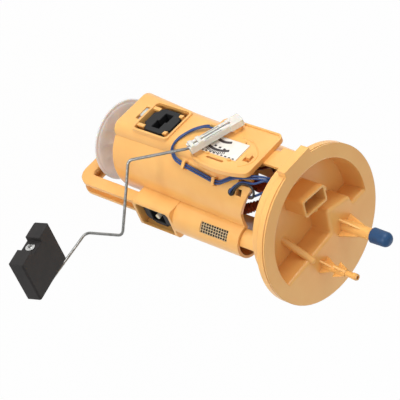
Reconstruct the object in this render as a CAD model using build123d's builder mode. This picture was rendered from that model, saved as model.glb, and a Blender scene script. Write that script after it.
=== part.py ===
"""Fuel pump module: flange, reservoir pot, electric pump on rubber mounts, strainer and level sender."""

import os
from math import cos, radians, sin

from build123d import *

os.makedirs("parts", exist_ok=True)

# The frame: Z up along the module, z = 0 on the underside of the flange rim, sender facing -Y.

# Flange
flange_diameter = 130.0
rim_height = 8.0
pocket_diameter = 107.0
pocket_depth = 20.0
flange_wall = 2.5
pocket_draft = 2.2  # how much smaller the pocket's floor is, on the radius
plateau_thickness = 3.0
plateau_right, plateau_middle, plateau_left = 19.8, 15.1, 8.8  # where the plateau's front edge lies
tongue_left, tongue_right, tongue_front = -36.0, -6.0, -5.8  # the plateau's tongue in front of the feed port
tongue_slant = 7.0
plateau_round = 2.5
tab_width = 30.0
tab_reach = 3.0
groove_depth = 0.6
groove_width = 0.8
groove_below_face = 2.2
drain_foot, drain_head = (24.0, 4.4, -9.0), (20.6, 20.8, 10.0)
drain_diameter = 5.8
leg_reach = 14.0  # how far the legs stand into the pot

# Reservoir pot, a drafted shell whose bottom stands a little off centre
pot_bottom = -200.0
pot_mouth = -33.0
mouth_low = -49.0  # the mouth's height beside the gallery, up to which its edge slopes from the deck
mouth_top = -39.5
deck_mouth = -42.0
latch_angle, latch_height, latch_size = -40.5, -51.5, 5.4
pot_wall = 2.5
pot_low_radius, pot_low_x = 39.0, -15.0
pot_high_radius, pot_high_x = 37.0, -9.0
pot_y = -6.0
deck_face = -46.5  # flat side that carries the sender
deck_right = 9.0
deck_low_left, deck_high_left = -41.0, -25.0
deck_corner = 9.0
foot_round = 3.0
upstand_left, upstand_right = -24.0, -4.0
back_window_left, back_window_right = -42.0, -5.0
back_window_low, back_window_high = -112.0, -74.0
floor_slot_x, floor_slot_y, floor_slot_length, floor_slot_width = -24.4, -33.0, 15.0, 9.0
gallery_x, gallery_y, gallery_radius = 28.0, 13.0, 14.5
gallery_floor, gallery_top = -104.0, -102.0
block_left, block_right, block_front, block_back = 8.0, 42.0, -2.0, 27.0
block_low, block_high = -166.0, -122.0

# Rubber mounts and their windows
window_width, window_height = 32.0, 38.0
window_depth = 9.0
window_frame = 2.0
window_lip = 1.5
deck_window_x, deck_window_z = -12.0, -157.0
side_window_y, side_window_z = 12.5, -144.0
side_window_width = 23.0
finger_width, finger_thickness, finger_spacing = 3.2, 2.6, 21.0
finger_length, post_reach, post_width, post_hook = 7.0, 7.0, 3.0, 1.6
rubber_width, rubber_height = 29.0, 32.0
side_rubber_width, side_rubber_depth, side_rubber_below = 20.0, 11.5, 4.0
side_rubber_arm = 13.0
rubber_arm = 17.0  # width of each arm of the cross
recess_size, recess_step = 8.5, 5.0  # two square recesses side by side, one higher by a step
rubber_below_deck = 2.0
peg_width, peg_length, side_peg_length = 4.4, 4.0, 12.0
rear_mount_angle, rear_rubber_depth, rear_rubber_size = 150.0, 6.0, 20.0
mount_pad = 2.0
deck_mount_pad = 1.0

# Pump
pump_x, pump_y = -12.0, -6.0
pump_diameter = 43.0
pump_foot, pump_top = -178.0, -83.0
pump_cover = 9.0
sleeve_wall = 2.5
sleeve_low, sleeve_high = -174.0, -118.0
outlet_diameter, outlet_length = 8.0, 12.0
terminal_spacing = 18.0

# Strainer and its guard
strainer_diameter = 71.0
strainer_thickness = 4.0
strainer_middle = -221.0
neck_diameter, neck_bore = 14.0, 9.0
guard_depth = 12.0
guard_front = 0.0
guard_band = 11.0
guard_plate = 2.5
guard_web = 3.0
guard_right, guard_left, guard_bottom = 41.0, -59.0, -238.0
guard_corner = 16.0

# Level sender
tray_floor, tray_rim, tray_wall = 3.2, 1.0, 1.6
tray_low, tray_high = -101.0, -38.0
tray_left, tray_right, tray_bulge = -33.0, 14.0, 19.5
tray_corner = 6.0
tray_overhang = 9.0
pivot_x, pivot_z = -25.0, -82.0
pivot_diameter = 3.0
boss_diameter, boss_height = 9.0, 4.0
arm_angle = -22.6  # the carrier's slope at the empty stop
arm_travel = 46.0
track_outer, track_inner, track_width = 26.0, 16.5, 2.4
track_thickness = 0.12
pad_radius, pad_length, pad_width, pad_count = 28.6, 2.0, 0.9, 13
card_left, card_right, card_low, card_high = -13.0, 5.5, -96.0, -58.0
card_thickness = 0.8
carrier_length, carrier_width, carrier_depth = 42.0, 9.0, 5.5
carrier_lift = 0.5  # gap over the tray's rim
head_length, head_width = 6.0, 11.0  # the block over the pivot
pivot_cover = 2.4  # thickness left over the pivot's end
leaf_thickness, leaf_width = 0.4, 4.0
wire_diameter = 2.4
wire_hook = 4.6
wire_bend = 5.0

# Float
float_length, float_thickness, float_depth = 46.5, 13.5, 38.6
float_tilt = 18.0
float_pin_x, float_pin_z = 145.0, -161.0
float_front = -50.0
channel_width, channel_depth = 14.0, 4.0
nut_diameter, nut_thickness = 8.0, 0.6

# Ports, connector and cap
feed_x, feed_y, feed_diameter, feed_bore, feed_top = -21.0, 19.8, 8.5, 5.5, 49.0
feed_body, feed_shoulder = 9.8, 36.0
return_x, return_y, return_diameter, return_bore, return_top = 12.0, 33.0, 5.5, 3.0, 42.0
return_body, return_shoulder, return_neck = 6.2, 31.0, 4.9
return_bead_low, return_bead_high = 37.5, 41.0
nipple_foot = -9.0
fin_thickness = 1.6
cap_low, cap_length, cap_diameter, cap_wall = 37.0, 17.0, 12.6, 1.8
connector_x, connector_y, connector_angle = -1.9, -24.0, -7.0
connector_length, connector_width, connector_wall = 26.0, 15.5, 1.8
connector_top = 8.5
pin_spacing, pin_width, pin_thickness = 5.2, 2.8, 0.8
pin_low, pin_high = -22.0, 2.0

# Hoses, wires and clearances
hose_diameter = 10.0
return_hose_diameter = 8.0
lead_diameter = 1.8
lead_pitch = 2.1  # between the two leads of the sender's pair
clip_angles, clip_heights = (-49.8, -44.7), (-112.0, -77.0)
lead_gap = 2.1  # from the pot's wall to the middle of the leads
clip_wall, clip_length = 1.2, 3.0
running_gap = 0.05
seat_gap = 0.3


def finish(part, label):
    """Names a piece and writes it."""
    part.label = label
    export_step(part, f"parts/{label}.step")
    print(label, round(part.volume))


def level(z, x=0.0, y=0.0, turn=0.0):
    """A horizontal plane, with its sketch x turned by an angle."""
    return Plane(origin=(x, y, z), x_dir=(cos(radians(turn)), sin(radians(turn)), 0), z_dir=(0, 0, 1))


def facing_front(y, x=0.0, z=0.0, slope=0.0):
    """A plane facing -Y, whose sketch y is the part's Z and whose sketch x slopes upwards by an angle."""
    return Plane(origin=(x, y, z), x_dir=(cos(radians(slope)), 0, sin(radians(slope))), z_dir=(0, -1, 0))


def facing_side(x, y=0.0, z=0.0, turn=0.0):
    """A plane whose normal is the part's X turned by an angle about Z, and whose sketch y is Z."""
    return Plane(
        origin=(x, y, z),
        x_dir=(-sin(radians(turn)), cos(radians(turn)), 0),
        z_dir=(cos(radians(turn)), sin(radians(turn)), 0),
    )


def pot_share(z):
    """How far up the pot z lies, from 0 at its bottom to 1 at its mouth."""
    return (z - pot_bottom) / (pot_mouth - pot_bottom)


def pot_x(z):
    return pot_low_x + (pot_high_x - pot_low_x) * pot_share(z)


def pot_radius(z):
    return pot_low_radius + (pot_high_radius - pot_low_radius) * pot_share(z)


def on_pot(angle, z, gap):
    """A point at an angle round the pot, with a gap from its wall."""
    reach = pot_radius(z) + gap
    return (pot_x(z) + reach * cos(radians(angle)), pot_y + reach * sin(radians(angle)), z)


def beside(point, distance):
    """A point moved round the pot by a distance."""
    across, along = point[0] - pot_x(point[2]), point[1] - pot_y
    reach = (across**2 + along**2) ** 0.5
    return (point[0] - along / reach * distance, point[1] + across / reach * distance, point[2])


def pot_form(inset, low, high):
    """The pot's outer form between two heights, drawn in by inset."""
    with BuildPart() as form:
        for z in (low, high):
            with BuildSketch(level(z, pot_x(z), pot_y)):
                Circle(pot_radius(z) - inset)
        loft()
        for z in (low, high):
            left = deck_low_left + (deck_high_left - deck_low_left) * pot_share(z) + inset
            right = deck_right - inset
            with BuildSketch(level(z)) as section:
                with BuildLine():
                    Polyline(
                        (left, pot_y), (left, deck_face + inset), (right, deck_face + inset), (right, pot_y),
                        close=True,
                    )
                make_face()
                fillet(section.vertices().group_by(Axis.Y)[0], deck_corner - inset)
        loft()
    return form.part


def lobe_form(inset, low, high):
    """The mount block and the gallery above it, beside the pot, drawn in by inset."""
    shoulder = block_high - inset
    with BuildPart() as form:
        width, depth = block_right - block_left - 2 * inset, block_back - block_front - 2 * inset
        with BuildSketch(level(low, (block_left + block_right) / 2, (block_front + block_back) / 2)):
            RectangleRounded(width, depth, 4 - inset)
        extrude(amount=shoulder - low)
        with BuildSketch(level(shoulder, gallery_x, gallery_y)):
            Circle(gallery_radius - inset)
        extrude(amount=high - shoulder)
    return form.part


def curved_wall(x, y, outer, thickness, start, sweep_angle, low, high):
    """A stretch of a round wall."""
    ends = [radians(start), radians(start + sweep_angle)]
    with BuildPart() as wall:
        with BuildSketch(level(low, x, y)):
            with BuildLine():
                CenterArc((0, 0), outer, start, sweep_angle)
                CenterArc((0, 0), outer - thickness, start, sweep_angle)
                for end in ends:
                    Line(
                        ((outer - thickness) * cos(end), (outer - thickness) * sin(end)),
                        (outer * cos(end), outer * sin(end)),
                    )
            make_face()
        extrude(amount=high - low)
    return wall.part


def tube(points, radii, outer, inner=0.0):
    """A round tube or rod along straight runs joined by arcs."""
    with BuildPart() as piece:
        with BuildLine() as path:
            FilletPolyline(*points, radius=radii)
        line = path.line
        with BuildSketch(Plane(origin=line @ 0, z_dir=line % 0)):
            Circle(outer / 2)
            if inner:
                Circle(inner / 2, mode=Mode.SUBTRACT)
        sweep(path=line)
    return piece.part


def largest_radii(points, share=0.45):
    """The largest arc at each corner that leaves both of its runs some straight length."""
    places = [Vector(*point) for point in points]
    radii = []
    for before, corner, after in zip(places, places[1:], places[2:]):
        turn = (corner - before).get_angle(after - corner)
        shorter = min((corner - before).length, (after - corner).length)
        radii.append(share * shorter / (sin(radians(turn / 2)) / cos(radians(turn / 2))))
    return radii


def plateau_outline(inset):
    """The raised part behind the pocket, drawn back by inset from its front edge."""
    beyond = flange_diameter / 2 + 5
    with BuildSketch(mode=Mode.PRIVATE) as outline:
        with BuildLine():
            Polyline(
                (beyond, plateau_right), (tongue_right, plateau_middle), (tongue_right - 4, tongue_front),
                (tongue_left, tongue_front + tongue_slant), (tongue_left, plateau_left), (-beyond, plateau_left),
                (-beyond, beyond), (beyond, beyond),
                close=True,
            )
        make_face()
        if inset:
            offset(amount=-inset, kind=Kind.INTERSECTION)
    return outline.sketch


# Flange: rim, pocket cup, plateau, ports, connector shroud and legs in one moulding.
cup_floor = rim_height - pocket_depth
cup_foot = cup_floor - flange_wall
pocket_radius = pocket_diameter / 2
floor_radius = pocket_radius - pocket_draft
leg_radius = pot_high_radius - pot_wall - seat_gap
leg_foot = pot_mouth - leg_reach
plateau_foot = rim_height - plateau_thickness
gallery_leg = gallery_radius - pot_wall - seat_gap
legs = [
    curved_wall(pot_high_x, pot_y, leg_radius, flange_wall, 196, 40, leg_foot, cup_foot),
    curved_wall(pot_high_x, pot_y, leg_radius, flange_wall, 127, 20, leg_foot, plateau_foot),
    curved_wall(gallery_x, gallery_y, gallery_leg, flange_wall, -100, 80, mouth_low - leg_reach + 4, cup_foot),
]

# The drain tube that leans across the pocket onto the plateau's edge
drain_run = Vector(*drain_head) - Vector(*drain_foot)
with BuildPart() as drain:
    with BuildSketch(Plane(origin=Vector(*drain_foot) - drain_run * 0.3, z_dir=drain_run)):
        Circle(drain_diameter / 2)
    extrude(amount=1.3 * drain_run.length)
    fillet(drain.edges().sort_by(Axis.Z)[-1], drain_diameter / 2 - 0.3)
    split(bisect_by=Plane.XY.offset(cup_foot), keep=Keep.TOP)

with BuildPart() as bowl:
    with Locations((0, 0, cup_foot)):
        Cone(
            floor_radius + flange_wall, pocket_radius + flange_wall, -cup_foot,
            align=(Align.CENTER, Align.CENTER, Align.MIN),
        )
    with BuildSketch(level(0)):
        Circle(pocket_radius + flange_wall)
    extrude(amount=rim_height)

with BuildPart() as raised:
    with BuildSketch(level(cup_foot)):
        add(plateau_outline(0))
    extrude(amount=rim_height - cup_foot)
    corners = raised.edges().filter_by(Axis.Z)
    fillet(corners.filter_by(lambda edge: edge.center().Y < 16 and abs(edge.center().X) < 40), 3)
    fillet(raised.edges().group_by(Axis.Z)[-1], plateau_round)

with BuildPart() as flange:
    add(bowl.part)
    with BuildSketch(level(0)):
        Circle(flange_diameter / 2)
        with Locations((0, -flange_diameter / 2)):
            Rectangle(tab_width, 2 * tab_reach)
    extrude(amount=rim_height)
    with Locations((0, 0, cup_floor)):
        Cone(
            floor_radius, pocket_radius, pocket_depth,
            align=(Align.CENTER, Align.CENTER, Align.MIN), mode=Mode.SUBTRACT,
        )
    add(raised.part & bowl.part)
    with BuildSketch(level(cup_foot)):
        add(plateau_outline(flange_wall))
    extrude(amount=-cup_foot, mode=Mode.SUBTRACT)
    with BuildSketch(level(0)):
        Circle(pocket_radius)
        add(plateau_outline(flange_wall), mode=Mode.INTERSECT)
    extrude(amount=plateau_foot, mode=Mode.SUBTRACT)
    # A fine groove round the rim under its front edge
    with BuildSketch(level(rim_height - groove_below_face)):
        Circle(flange_diameter / 2 + 1)
        Circle(flange_diameter / 2 - groove_depth, mode=Mode.SUBTRACT)
        with Locations((0, -flange_diameter / 2)):
            Rectangle(tab_width + 2, 4 * tab_reach, mode=Mode.SUBTRACT)
    extrude(amount=groove_width, mode=Mode.SUBTRACT)
    add(drain.part)
    # Connector shroud standing on the pocket's floor
    with BuildSketch(level(cup_floor, connector_x, connector_y, connector_angle)):
        RectangleRounded(connector_length, connector_width, 2.5)
    extrude(amount=connector_top - cup_floor)
    with BuildSketch(level(cup_floor + 4, connector_x, connector_y, connector_angle)):
        RectangleRounded(connector_length - 2 * connector_wall, connector_width - 2 * connector_wall, 1.5)
    extrude(amount=connector_top - cup_floor, mode=Mode.SUBTRACT)
    with BuildSketch(level(connector_top - 9, connector_x, connector_y, connector_angle)):
        with Locations((0, connector_width / 2 + 0.8), (-connector_length / 2 - 0.8, -2)):
            Rectangle(3, 3)
        RectangleRounded(connector_length - 0.4, connector_width - 0.4, 2, mode=Mode.SUBTRACT)
    extrude(amount=8)
    with BuildSketch(level(cup_foot, connector_x, connector_y, connector_angle)):
        with GridLocations(pin_spacing, 0, 4, 1):
            Rectangle(pin_thickness, pin_width)
    extrude(amount=connector_top, mode=Mode.SUBTRACT)
    # Ports with their fins, and the nipples under them
    for x, y, nipple, body, shoulder, stub, top in (
        (feed_x, feed_y, feed_diameter, feed_body, feed_shoulder, feed_diameter, feed_top),
        (return_x, return_y, return_diameter, return_body, return_shoulder, return_neck, return_top),
    ):
        for low, high, diameter in ((nipple_foot, rim_height, nipple), (rim_height, shoulder, body), (shoulder, top, stub)):
            with BuildSketch(level(low, x, y)):
                Circle(diameter / 2)
            extrude(amount=high - low)
    with BuildSketch(level(feed_top - 5, feed_x, feed_y)):
        Circle(feed_diameter / 2 + 0.5)
    extrude(amount=3, taper=8)
    with BuildSketch(level(return_bead_low, return_x, return_y)):
        Circle(return_diameter / 2)
    extrude(amount=return_bead_high - return_bead_low)
    for turn in (20, 110, 200, 290):
        for x, y, radius, foot, reach, height in (
            (feed_x, feed_y, feed_body / 2, rim_height, 5.5, 19),
            (return_x, return_y, return_body / 2, rim_height, 4.5, 10),
            (return_x, return_y, return_body / 2, rim_height + 13, 3.8, 10),
        ):
            with BuildSketch(facing_side(x, y, 0, turn)):
                with BuildLine():
                    Polyline(
                        (0, foot), (radius + reach, foot), (radius - 0.2, foot + height), (0, foot + height),
                        close=True,
                    )
                make_face()
            extrude(amount=fin_thickness / 2, both=True)
    for x, y, bore, top in (
        (feed_x, feed_y, feed_bore, feed_top),
        (return_x, return_y, return_bore, return_top),
    ):
        with BuildSketch(level(nipple_foot, x, y)):
            Circle(bore / 2)
        extrude(amount=top - nipple_foot, mode=Mode.SUBTRACT)
    for leg in legs:
        add(leg)
finish(flange.part, "flange_cap")

with BuildPart() as pins:
    with BuildSketch(level(pin_low, connector_x, connector_y, connector_angle)):
        with GridLocations(pin_spacing, 0, 4, 1):
            Rectangle(pin_thickness, pin_width)
    extrude(amount=pin_high - pin_low)
finish(pins.part, "connector_pins")

with BuildPart() as cap:
    with BuildSketch(level(cap_low, feed_x, feed_y)):
        Circle(cap_diameter / 2)
    extrude(amount=cap_length, taper=1)
    fillet(cap.edges().group_by(Axis.Z)[-1], cap_diameter / 2 - 1.2)
    with BuildSketch(level(cap_low, feed_x, feed_y)):
        Circle(feed_diameter / 2 + 0.6)
    extrude(amount=cap_length - cap_wall - 1.5, mode=Mode.SUBTRACT)
finish(cap.part, "port_cap")

# Reservoir pot
pot_outside = pot_form(0, pot_bottom, pot_mouth)
pot_foot = pot_outside.edges().group_by(Axis.Z)[0]
pot_outside = pot_outside.fillet(foot_round, pot_foot)
pot_inside = pot_form(pot_wall, pot_bottom + pot_wall, pot_mouth)
lobe_outside = lobe_form(0, block_low, pot_mouth)
lobe_inside = lobe_form(pot_wall, block_low + pot_wall, pot_mouth)

# What the mouth loses: a sloping cut beside the gallery, a step at the deck and a slot before the latch hole
latch_x = pot_x(latch_height) + pot_radius(latch_height) * cos(radians(latch_angle))
latch_y = pot_y + pot_radius(latch_height) * sin(radians(latch_angle))
latch_plane = facing_side(latch_x, latch_y, 0, latch_angle)
with BuildPart() as mouth_cut:
    with BuildSketch(latch_plane.offset(-45)):
        with BuildLine():
            Polyline((-6.5, mouth_top), (17, mouth_low), (70, mouth_low), (70, 0), (-6.5, 0), close=True)
        make_face()
    extrude(amount=75)
    with BuildSketch(latch_plane.offset(-10)):
        with Locations((-8.5, latch_height - 3)):
            Rectangle(4, 60, align=(Align.CENTER, Align.MIN))
    extrude(amount=20)
    with BuildSketch(level(deck_mouth)):
        with Locations((upstand_right, deck_face - 2)):
            Rectangle(13 - upstand_right, 16, align=(Align.MIN, Align.MIN))
    extrude(amount=40)

with BuildPart() as pot:
    add(pot_outside)
    add(lobe_outside)
    # Collars that deepen the two mount windows
    with BuildSketch(facing_front(deck_face - window_lip, deck_window_x, deck_window_z)):
        RectangleRounded(window_width + 2 * window_frame, window_height + 2 * window_frame, 4)
    extrude(amount=-window_lip - pot_wall)
    add(pot_inside, mode=Mode.SUBTRACT)
    add(lobe_inside, mode=Mode.SUBTRACT)
    with BuildSketch(facing_front(deck_face + pot_wall, deck_window_x, deck_window_z)):
        RectangleRounded(window_width + 2 * window_frame, window_height + 2 * window_frame, 4)
        RectangleRounded(window_width, window_height, 3, mode=Mode.SUBTRACT)
    extrude(amount=-(window_depth - pot_wall))
    with BuildSketch(facing_front(deck_face - window_lip, deck_window_x, deck_window_z)):
        RectangleRounded(window_width, window_height, 3)
    extrude(amount=-window_depth, mode=Mode.SUBTRACT)
    with BuildSketch(facing_side(block_right, side_window_y, side_window_z)):
        RectangleRounded(side_window_width, window_height, 3)
    extrude(amount=-window_depth, mode=Mode.SUBTRACT)
    # Two short fingers under the deck's rubber mount, and two posts whose hooks hold it down
    for spread in (-finger_spacing / 2, finger_spacing / 2):
        finger_z = deck_window_z - window_height / 2 - window_frame / 2
        finger_plane = facing_front(deck_face + rubber_below_deck, deck_window_x + spread, finger_z)
        with BuildSketch(finger_plane):
            Rectangle(finger_width, finger_length + window_frame, align=(Align.CENTER, Align.MIN))
        extrude(amount=finger_thickness)
        post_top, post_side = deck_window_z + window_height / 2, deck_face + rubber_below_deck - finger_thickness
        root_low = deck_face + window_depth - 3
        with BuildSketch(Plane.YZ.offset(deck_window_x + spread - finger_width / 2)):
            with BuildLine():
                Polyline(
                    (root_low, post_top + 1), (root_low, post_top - post_reach + post_width),
                    (post_side, post_top - post_reach + post_width),
                    (post_side + 0.6, post_top - post_reach - post_hook),
                    (deck_face + rubber_below_deck, post_top - post_reach - post_hook),
                    (deck_face + rubber_below_deck, post_top - post_reach),
                    (deck_face + window_depth, post_top - post_reach), (deck_face + window_depth, post_top + 1),
                    close=True,
                )
            make_face()
        extrude(amount=finger_width)
    # Slot in the deck past the window
    with BuildSketch(facing_front(deck_face - window_lip, deck_window_x - 2, deck_window_z - window_height / 2 - 5.5)):
        RectangleRounded(floor_slot_length, 5, 1)
    extrude(amount=-pot_wall - window_lip, mode=Mode.SUBTRACT)
    with BuildSketch(level(pot_bottom)):
        with Locations((floor_slot_x, floor_slot_y)):
            RectangleRounded(floor_slot_length, floor_slot_width, 2)
    extrude(amount=pot_wall, mode=Mode.SUBTRACT)
    # Large window in the back wall
    back_middle = (back_window_left + back_window_right) / 2
    with BuildSketch(facing_front(pot_y + 15, back_middle, (back_window_low + back_window_high) / 2)):
        RectangleRounded(back_window_right - back_window_left, back_window_high - back_window_low, 4)
    extrude(amount=-40, mode=Mode.SUBTRACT)
    # Boss for the rear mount
    rear_plane = facing_side(pump_x, pump_y, deck_window_z, rear_mount_angle)
    rear_face = pump_diameter / 2 + sleeve_wall + mount_pad + rear_rubber_depth
    with BuildSketch(rear_plane.offset(rear_face)):
        Rectangle(rear_rubber_size + 4, rear_rubber_size + 4)
    boss = extrude(amount=pot_low_radius - rear_face, mode=Mode.PRIVATE)
    add(boss & pot_outside)
    # Square latch hole, floor holes, gallery floor and gallery screen slot
    with BuildSketch(latch_plane.offset(-pot_wall - 2)):
        with Locations((0, latch_height)):
            Rectangle(latch_size, latch_size)
    extrude(amount=pot_wall + 4, mode=Mode.SUBTRACT)
    with BuildSketch(level(pot_bottom, pump_x, pump_y)):
        Circle(neck_diameter / 2 + seat_gap)
        with PolarLocations(27, 3, start_angle=100, angular_range=60, endpoint=True):
            Circle(2)
    extrude(amount=pot_wall, mode=Mode.SUBTRACT)
    with BuildSketch(level(gallery_floor, gallery_x, gallery_y)):
        Circle(gallery_radius - pot_wall / 2)
    extrude(amount=gallery_top - gallery_floor)

# Screen in the gallery's wall, a curved grid that fills its slot
screen_angle = -42.0
screen_width, screen_height, screen_middle = 9.0, 30.0, -76.0
screen_thickness = 1.0
screen_x = gallery_x + gallery_radius * cos(radians(screen_angle))
screen_y = gallery_y + gallery_radius * sin(radians(screen_angle))
screen_plane = facing_side(screen_x, screen_y, screen_middle, screen_angle)
clip_room = lead_diameter + 2 * seat_gap

with pot:
    # The deck's upstand, which reaches the underside of the flange
    with BuildSketch(level(pot_mouth)):
        with Locations(((upstand_left + upstand_right) / 2, deck_face)):
            Rectangle(upstand_right - upstand_left, pot_wall, align=(Align.CENTER, Align.MIN))
    extrude(amount=cup_foot - pot_mouth)
    add(mouth_cut.part, mode=Mode.SUBTRACT)
    # Two clips that hold the sender's pair of leads against the wall
    for angle, height in zip(clip_angles, clip_heights):
        clip_plane = facing_side(*on_pot(angle, height, lead_gap), angle)
        with BuildSketch(clip_plane.offset(-lead_gap - pot_wall / 2)):
            with Locations((lead_pitch / 2, 0)):
                Rectangle(lead_pitch + clip_room + 2 * clip_wall, clip_length)
        extrude(amount=lead_gap + pot_wall / 2 + clip_room / 2 + clip_wall)
        with BuildSketch(clip_plane.offset(-clip_room / 2)):
            with Locations((lead_pitch / 2, 0)):
                Rectangle(lead_pitch + clip_room, clip_length)
        extrude(amount=clip_room, mode=Mode.SUBTRACT)
        with BuildSketch(clip_plane):
            with Locations((lead_pitch + clip_room / 2, 0)):
                Rectangle(2 * clip_wall, clip_length, align=(Align.MIN, Align.CENTER))
        extrude(amount=clip_room / 2, mode=Mode.SUBTRACT)
    with BuildSketch(screen_plane):
        Rectangle(screen_width, screen_height)
    extrude(amount=-pot_wall - 2, mode=Mode.SUBTRACT)
finish(pot.part, "reservoir_pot")

with BuildPart() as screen:
    with BuildSketch(screen_plane.offset(-pot_wall)):
        Rectangle(screen_width, screen_height)
        with GridLocations(screen_width / 4, screen_height / 11, 4, 11):
            Rectangle(screen_width / 4 - 0.7, screen_height / 11 - 0.7, mode=Mode.SUBTRACT)
    extrude(amount=screen_thickness)
finish(screen.part, "gallery_screen")

# Umbrella valve in the pot's floor
valve_x = pump_x + 27 * cos(radians(130))
valve_y = pump_y + 27 * sin(radians(130))
with BuildPart() as valve:
    with BuildSketch(level(pot_bottom + pot_wall, valve_x, valve_y)):
        Circle(7)
    extrude(amount=1)
    with BuildSketch(level(pot_bottom - 1.5, valve_x, valve_y)):
        Circle(2 - running_gap)
    extrude(amount=pot_wall + 1.5)
    with BuildSketch(level(pot_bottom - 2.5, valve_x, valve_y)):
        Circle(3)
    extrude(amount=2.5)
finish(valve.part, "floor_valve")

# Pump carrier: a sleeve round the pump with a pad and a peg behind each rubber mount
sleeve_radius = pump_diameter / 2 + sleeve_wall
bore_radius = pump_diameter / 2 + running_gap
deck_pad = pump_y - sleeve_radius - deck_mount_pad
side_pad = block_right - side_rubber_below - side_rubber_depth
rear_pad = sleeve_radius + mount_pad

with BuildPart() as carrier:
    with BuildSketch(level(sleeve_low, pump_x, pump_y)):
        Circle(sleeve_radius)
    extrude(amount=sleeve_high - sleeve_low)
    with BuildSketch(facing_front(pump_y, deck_window_x, deck_window_z)):
        Rectangle(20, 20)
    extrude(amount=pump_y - deck_pad)
    with BuildSketch(facing_front(deck_pad, deck_window_x, deck_window_z)):
        Rectangle(peg_width, peg_width)
    extrude(amount=peg_length)
    with BuildSketch(facing_side(pump_x, side_window_y, side_window_z)):
        Rectangle(16, 20)
    extrude(amount=side_pad - pump_x)
    with BuildSketch(facing_side(side_pad, side_window_y, side_window_z)):
        Circle(peg_width / 2)
    extrude(amount=side_peg_length)
    with BuildSketch(rear_plane):
        Rectangle(20, 20)
    extrude(amount=rear_pad)
    with BuildSketch(level(sleeve_low, pump_x, pump_y)):
        Circle(bore_radius)
    extrude(amount=sleeve_high - sleeve_low, mode=Mode.SUBTRACT)
    # Slots that lighten the sleeve
    with BuildSketch(level(sleeve_high - 24, pump_x, pump_y)):
        with PolarLocations(sleeve_radius, 6, start_angle=45):
            Rectangle(3 * sleeve_wall, 8)
    extrude(amount=17, mode=Mode.SUBTRACT)
finish(carrier.part, "pump_carrier")


def rubber_mount(plane, width, height, depth, arm):
    """A cross-shaped block with two stepped recesses, one round the peg; the plane lies on its inner face."""
    with BuildPart() as mount:
        with BuildSketch(plane):
            Rectangle(width, arm)
            Rectangle(arm, height)
        extrude(amount=depth)
        chamfer(mount.edges().filter_by(lambda edge: abs(edge.length - depth) < 0.01), 1.5)
        with BuildSketch(plane):
            Rectangle(recess_size, recess_size)
            with Locations((0.6 * recess_size, recess_step)):
                Rectangle(recess_size / 2, recess_size)
        extrude(amount=depth, mode=Mode.SUBTRACT)
    return mount.part


deck_plane = facing_front(deck_pad, deck_window_x, deck_window_z)
side_plane = facing_side(side_pad, side_window_y, side_window_z)
deck_rubber_depth = deck_pad - deck_face - rubber_below_deck
finish(rubber_mount(deck_plane, rubber_width, rubber_height, deck_rubber_depth, rubber_arm), "deck_mount")
side_mount = rubber_mount(side_plane, side_rubber_width, rubber_height, side_rubber_depth, side_rubber_arm)
finish(side_mount, "side_mount")
with BuildPart() as rear_mount:
    with BuildSketch(rear_plane.offset(rear_pad)):
        RectangleRounded(rear_rubber_size, rear_rubber_size, 3)
    extrude(amount=rear_rubber_depth)
finish(rear_mount.part, "rear_mount")

# Pump: steel case between an inlet cover and an outlet cover
case_low, case_high = pump_foot + pump_cover, pump_top - pump_cover
with BuildPart() as case:
    with BuildSketch(level(case_low, pump_x, pump_y)):
        Circle(pump_diameter / 2)
    extrude(amount=case_high - case_low)
    for z in (case_low + 4, case_high - 4):
        with BuildSketch(level(z, pump_x, pump_y)):
            Circle(pump_diameter / 2 + 1)
            Circle(pump_diameter / 2 - 0.5, mode=Mode.SUBTRACT)
        extrude(amount=1.2, mode=Mode.SUBTRACT)
finish(case.part, "pump_case")

with BuildPart() as inlet_cover:
    with BuildSketch(level(pump_foot, pump_x, pump_y)):
        Circle(pump_diameter / 2 - 1)
    extrude(amount=pump_cover)
    chamfer(inlet_cover.edges().group_by(Axis.Z)[0], 2)
    with BuildSketch(level(pump_foot, pump_x, pump_y)):
        Circle(neck_bore / 2)
    extrude(amount=pump_cover - 2, mode=Mode.SUBTRACT)
finish(inlet_cover.part, "pump_inlet_cover")

outlet_tip = pump_top + outlet_length
with BuildPart() as outlet_cover:
    with BuildSketch(level(case_high, pump_x, pump_y)):
        Circle(pump_diameter / 2 - 1)
    extrude(amount=pump_cover)
    fillet(outlet_cover.edges().group_by(Axis.Z)[-1], 3)
    with BuildSketch(level(pump_top, pump_x, pump_y)):
        Circle(outlet_diameter / 2)
        with Locations((-terminal_spacing / 2, -8), (terminal_spacing / 2, -8)):
            Rectangle(5, 5)
    extrude(amount=5)
    with BuildSketch(level(pump_top, pump_x, pump_y)):
        Circle(outlet_diameter / 2)
    extrude(amount=outlet_length)
    with BuildSketch(level(pump_top, pump_x, pump_y)):
        Circle(outlet_diameter / 2 - 1.5)
    extrude(amount=outlet_length, mode=Mode.SUBTRACT)
finish(outlet_cover.part, "pump_outlet_cover")

# Strainer: a flat bag-like disc on a neck that plugs on the pump's inlet
with BuildPart() as strainer:
    with BuildSketch(level(strainer_middle - strainer_thickness / 2, pump_x, pump_y)):
        Circle(strainer_diameter / 2)
    extrude(amount=strainer_thickness)
    fillet(strainer.edges(), strainer_thickness / 2 - 0.3)
    with BuildSketch(level(strainer_middle + strainer_thickness / 2, pump_x, pump_y)):
        Circle(neck_diameter / 2 + 4)
    extrude(amount=1.5)
    with BuildSketch(level(strainer_middle, pump_x, pump_y)):
        Circle(neck_bore / 2)
    extrude(amount=strainer_thickness / 2 + 1.5, mode=Mode.SUBTRACT)
finish(strainer.part, "strainer_disc")

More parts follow.
